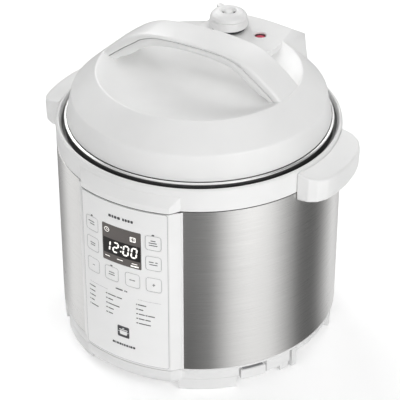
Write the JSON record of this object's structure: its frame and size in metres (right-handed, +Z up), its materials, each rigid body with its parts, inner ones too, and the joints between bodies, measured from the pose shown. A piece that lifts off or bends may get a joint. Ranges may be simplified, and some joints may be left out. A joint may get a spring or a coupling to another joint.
{
  "type": "electric pressure cooker",
  "caption": "Round countertop electric pressure cooker with brushed steel body, white plastic base, collar, domed arch-handle lid and curved key panel with digital display.",
  "frame": {"origin": "on the floor plane, under the middle of the body and of the whole bounding box", "axes": "+Z up; the control panel faces -Y and the drip cup and power inlet face +Y; the side handles lie along X"},
  "size_m": [0.331, 0.2981, 0.325],
  "materials": {
    "white_plastic": "white moulded plastic, satin gloss",
    "panel_film": "white printed film, semi-matte",
    "inner_plastic": "off-white moulded plastic, matte",
    "brushed_steel": "stainless sheet brushed round the body",
    "drawn_steel": "drawn stainless, bright",
    "aluminium": "satin aluminium",
    "display_lens": "smoked display lens",
    "dark_plastic": "black moulded plastic",
    "circuit_board": "green solder mask",
    "silicone": "translucent white silicone",
    "float_red": "red moulded plastic",
    "clear_plastic": "clear moulded plastic",
    "foot_rubber": "off-white rubber, matte",
    "brass": "bare brass"
  },
  "bodies": {
    "housing": {"base_ring": "white_plastic", "bottom_cover": "inner_plastic", "base_screw_1": "drawn_steel", "base_screw_2": "drawn_steel", "base_screw_3": "drawn_steel", "base_screw_4": "drawn_steel", "foot_front_right": "foot_rubber", "foot_rear_right": "foot_rubber", "foot_rear_left": "foot_rubber", "foot_front_left": "foot_rubber", "steel_wrap": "brushed_steel", "top_ring": "white_plastic", "side_handle_right": "white_plastic", "side_handle_left": "white_plastic", "drip_cup_holder": "white_plastic", "power_inlet": "dark_plastic", "inlet_pin_line": "brass", "inlet_pin_neutral": "brass", "inlet_pin_earth": "brass", "panel_fascia": "white_plastic", "panel_overlay": "panel_film", "display_window": "display_lens", "display_module": "dark_plastic", "control_board": "circuit_board", "outer_pot": "drawn_steel", "heating_plate": "aluminium", "sensor_bracket": "drawn_steel", "sensor_spring": "drawn_steel", "pressure_switch": "dark_plastic", "power_board": "circuit_board"},
    "inner_pot": {"inner_pot": "aluminium"},
    "seal": {"seal_holder": "drawn_steel", "sealing_ring": "silicone"},
    "lid": {"lid_cover": "white_plastic", "lid_handle_top": "white_plastic", "lid_handle_bottom": "white_plastic", "handle_screw_left": "drawn_steel", "handle_screw_right": "drawn_steel", "lid_plate": "drawn_steel", "holder_pin": "drawn_steel", "exhaust_pipe": "drawn_steel", "anti_block_shield": "drawn_steel", "lever_guide": "inner_plastic", "interlock_spring": "drawn_steel"},
    "valve_weight": {"valve_weight": "drawn_steel"},
    "valve_knob": {"valve_knob": "white_plastic"},
    "float_valve": {"float_pin": "float_red", "float_seal": "silicone"},
    "interlock_lever": {"interlock_lever": "drawn_steel"},
    "temperature_sensor": {"temperature_sensor": "aluminium"},
    "drip_cup": {"drip_cup": "clear_plastic"},
    "key_left_top": {"key_left_top": "white_plastic"},
    "key_left_middle": {"key_left_middle": "white_plastic"},
    "key_minus": {"key_minus": "white_plastic"},
    "key_bottom_left": {"key_bottom_left": "white_plastic"},
    "key_bottom_right": {"key_bottom_right": "white_plastic"},
    "key_right_top": {"key_right_top": "white_plastic"},
    "key_right_middle": {"key_right_middle": "white_plastic"},
    "key_plus": {"key_plus": "white_plastic"}
  },
  "joints": [
    {"name": "pot_lift", "type": "slide", "parent": "housing", "child": "inner_pot", "axis": [0, 0, 1], "range_m": [0, 0.2]},
    {"name": "lid_lift", "type": "slide", "parent": "inner_pot", "child": "seal", "axis": [0, 0, 1], "range_m": [0, 0.12]},
    {"name": "lid_turn", "type": "hinge", "parent": "seal", "child": "lid", "pos_m": [0, 0, 0.25], "axis": [0, 0, 1], "range_deg": [0, 30]},
    {"name": "valve_lift", "type": "slide", "parent": "lid", "child": "valve_weight", "axis": [0, 0, 1], "range_m": [0, 0.025]},
    {"name": "valve_turn", "type": "hinge", "parent": "valve_weight", "child": "valve_knob", "pos_m": [-0.017, 0.089, 0.3], "axis": [0, 0, 1], "range_deg": [-55, 0]},
    {"name": "float_rise", "type": "slide", "parent": "lid", "child": "float_valve", "axis": [0, 0, 1], "range_m": [0, 0.005]},
    {"name": "interlock_slide", "type": "slide", "parent": "lid", "child": "interlock_lever", "axis": [0, 1, 0], "range_m": [-0.004, 0], "stiffness_N_per_m": 250, "deforming": ["interlock_spring"]},
    {"name": "sensor_press", "type": "slide", "parent": "housing", "child": "temperature_sensor", "axis": [0, 0, 1], "range_m": [-0.002, 0], "stiffness_N_per_m": 400, "deforming": ["sensor_spring"]},
    {"name": "cup_pull", "type": "slide", "parent": "housing", "child": "drip_cup", "axis": [0, 1, 0], "range_m": [0, 0.035]},
    {"name": "press_left_top", "type": "slide", "parent": "housing", "child": "key_left_top", "axis": [0.2327, 0.9725, 0], "range_m": [0, 0.0005], "stiffness_N_per_m": 600},
    {"name": "press_left_middle", "type": "slide", "parent": "housing", "child": "key_left_middle", "axis": [0.2327, 0.9725, 0], "range_m": [0, 0.0005], "stiffness_N_per_m": 600},
    {"name": "press_minus", "type": "slide", "parent": "housing", "child": "key_minus", "axis": [0.2327, 0.9725, 0], "range_m": [0, 0.0005], "stiffness_N_per_m": 600},
    {"name": "press_bottom_left", "type": "slide", "parent": "housing", "child": "key_bottom_left", "axis": [0.0791, 0.9969, 0], "range_m": [0, 0.0005], "stiffness_N_per_m": 600},
    {"name": "press_bottom_right", "type": "slide", "parent": "housing", "child": "key_bottom_right", "axis": [-0.0791, 0.9969, 0], "range_m": [0, 0.0005], "stiffness_N_per_m": 600},
    {"name": "press_right_top", "type": "slide", "parent": "housing", "child": "key_right_top", "axis": [-0.2262, 0.9741, 0], "range_m": [0, 0.0005], "stiffness_N_per_m": 600},
    {"name": "press_right_middle", "type": "slide", "parent": "housing", "child": "key_right_middle", "axis": [-0.2262, 0.9741, 0], "range_m": [0, 0.0005], "stiffness_N_per_m": 600},
    {"name": "press_plus", "type": "slide", "parent": "housing", "child": "key_plus", "axis": [-0.2262, 0.9741, 0], "range_m": [0, 0.0005], "stiffness_N_per_m": 600}
  ]
}
